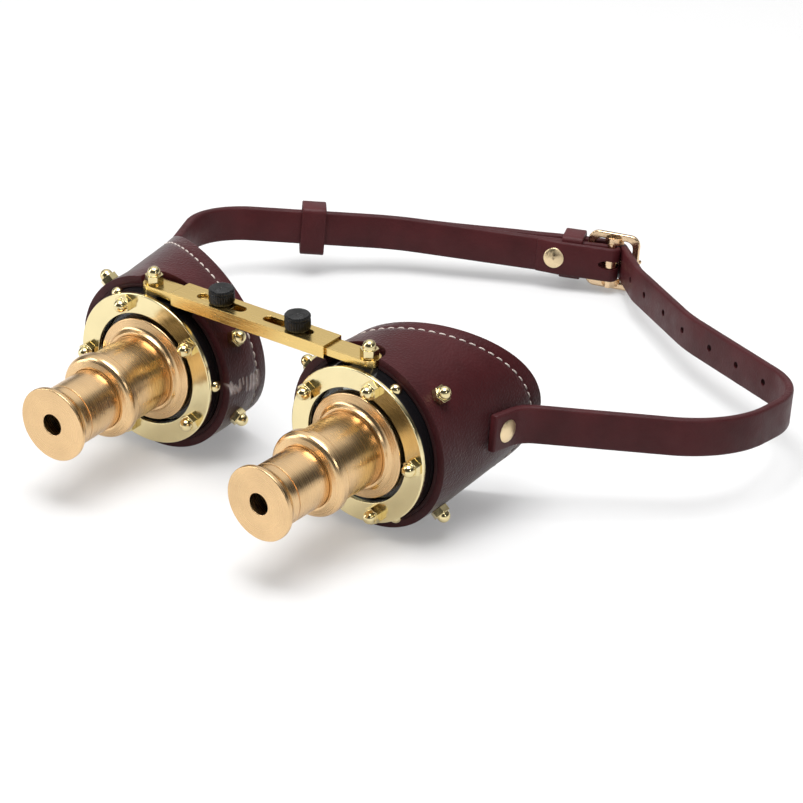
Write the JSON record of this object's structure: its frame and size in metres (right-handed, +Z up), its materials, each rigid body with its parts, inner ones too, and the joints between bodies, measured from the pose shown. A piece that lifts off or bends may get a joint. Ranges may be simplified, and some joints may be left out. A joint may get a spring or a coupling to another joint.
{
  "type": "steampunk goggles",
  "caption": "Leather eyecup goggles with telescoping brass loupes, an adjustable brass nose bridge with thumb screws and a buckled leather head strap.",
  "frame": {"origin": "bottom centre of the whole model, on the surface that the goggles stand on", "axes": "+Z up, the wearer looks along -Y, +X towards the wearer's left eye"},
  "size_m": [0.208, 0.2114, 0.0559],
  "materials": {
    "cup_leather": "satin dark red leather",
    "lining": "smooth dark lining leather",
    "strap_leather": "satin dark red strap leather, burnished edges",
    "thread": "waxed pale thread",
    "black_enamel": "glossy black enamel",
    "black_knurled": "black oxide, finely knurled",
    "bezel_brass": "polished pale brass",
    "nut_brass": "polished yellow brass",
    "bridge_brass": "brushed antique brass",
    "loupe_brass": "satin turned reddish brass",
    "buckle_brass": "polished cast brass",
    "glass": "clear glass"
  },
  "bodies": {
    "bridge": {"bridge_channel": "bridge_brass", "tail_strap": "strap_leather", "buckle_strap": "strap_leather", "fixed_keeper": "strap_leather", "fold_rivet": "nut_brass"},
    "right_eyecup": {"right_cup_leather": "cup_leather", "right_cup_lining": "lining", "right_drum": "black_enamel", "right_lens": "glass", "right_lens_retainer": "black_enamel", "right_bezel_ring": "bezel_brass", "right_bezel_nuts": "nut_brass", "right_bezel_studs": "nut_brass", "right_drum_buttons": "nut_brass", "right_cup_bolts": "nut_brass", "right_cup_nuts": "nut_brass", "right_loupe_base": "loupe_brass", "right_loupe_tube": "loupe_brass", "right_tongue": "bridge_brass", "right_bridge_stud": "nut_brass", "right_bridge_washer": "bridge_brass", "right_bridge_nut": "nut_brass", "right_strap_rivet": "nut_brass"},
    "right_draw": {"right_draw_tube": "loupe_brass", "right_eyepiece": "loupe_brass", "right_loupe_lens": "glass"},
    "right_thumb_screw": {"right_thumb_screw": "black_knurled"},
    "left_eyecup": {"left_cup_leather": "cup_leather", "left_cup_lining": "lining", "left_drum": "black_enamel", "left_lens": "glass", "left_lens_retainer": "black_enamel", "left_bezel_ring": "bezel_brass", "left_bezel_nuts": "nut_brass", "left_bezel_studs": "nut_brass", "left_drum_buttons": "nut_brass", "left_cup_bolts": "nut_brass", "left_cup_nuts": "nut_brass", "left_loupe_base": "loupe_brass", "left_loupe_tube": "loupe_brass", "left_tongue": "bridge_brass", "left_bridge_stud": "nut_brass", "left_bridge_washer": "bridge_brass", "left_bridge_nut": "nut_brass", "left_strap_rivet": "nut_brass"},
    "left_draw": {"left_draw_tube": "loupe_brass", "left_eyepiece": "loupe_brass", "left_loupe_lens": "glass"},
    "left_thumb_screw": {"left_thumb_screw": "black_knurled"},
    "buckle_frame": {"buckle_frame": "buckle_brass"},
    "buckle_prong": {"buckle_prong": "buckle_brass"},
    "loose_keeper": {"loose_keeper": "strap_leather"}
  },
  "joints": [
    {"name": "right_eyecup_slide", "type": "slide", "parent": "bridge", "child": "right_eyecup", "axis": [1, 0, 0], "range_m": [-0.0065, 0.005], "deforming": ["buckle_strap"]},
    {"name": "right_draw_slide", "type": "slide", "parent": "right_eyecup", "child": "right_draw", "axis": [-0.0314, 0.9995, 0], "range_m": [0, 0.011]},
    {"name": "right_thumb_turn", "type": "hinge", "parent": "right_eyecup", "child": "right_thumb_screw", "pos_m": [-0.02371, -0.05967, 0.0513], "axis": [0, 0, 1], "continuous": true},
    {"name": "left_eyecup_slide", "type": "slide", "parent": "bridge", "child": "left_eyecup", "axis": [1, 0, 0], "range_m": [-0.005, 0.0033], "deforming": ["tail_strap"]},
    {"name": "left_draw_slide", "type": "slide", "parent": "left_eyecup", "child": "left_draw", "axis": [0.0314, 0.9995, 0], "range_m": [0, 0.011]},
    {"name": "left_thumb_turn", "type": "hinge", "parent": "left_eyecup", "child": "left_thumb_screw", "pos_m": [0.00259, -0.05967, 0.0513], "axis": [0, 0, 1], "continuous": true},
    {"name": "buckle_turn", "type": "hinge", "parent": "bridge", "child": "buckle_frame", "pos_m": [0.00094, 0.097, 0.00958], "axis": [0, 0.1367, 0.9906], "range_deg": [-4, 4]},
    {"name": "prong_turn", "type": "hinge", "parent": "buckle_frame", "child": "buckle_prong", "pos_m": [0.00094, 0.097, 0.00958], "axis": [0, 0.1367, 0.9906], "range_deg": [0, 8]},
    {"name": "keeper_slide", "type": "slide", "parent": "bridge", "child": "loose_keeper", "axis": [-0.777, -0.6235, 0.086], "range_m": [-0.01, 0.014]}
  ]
}
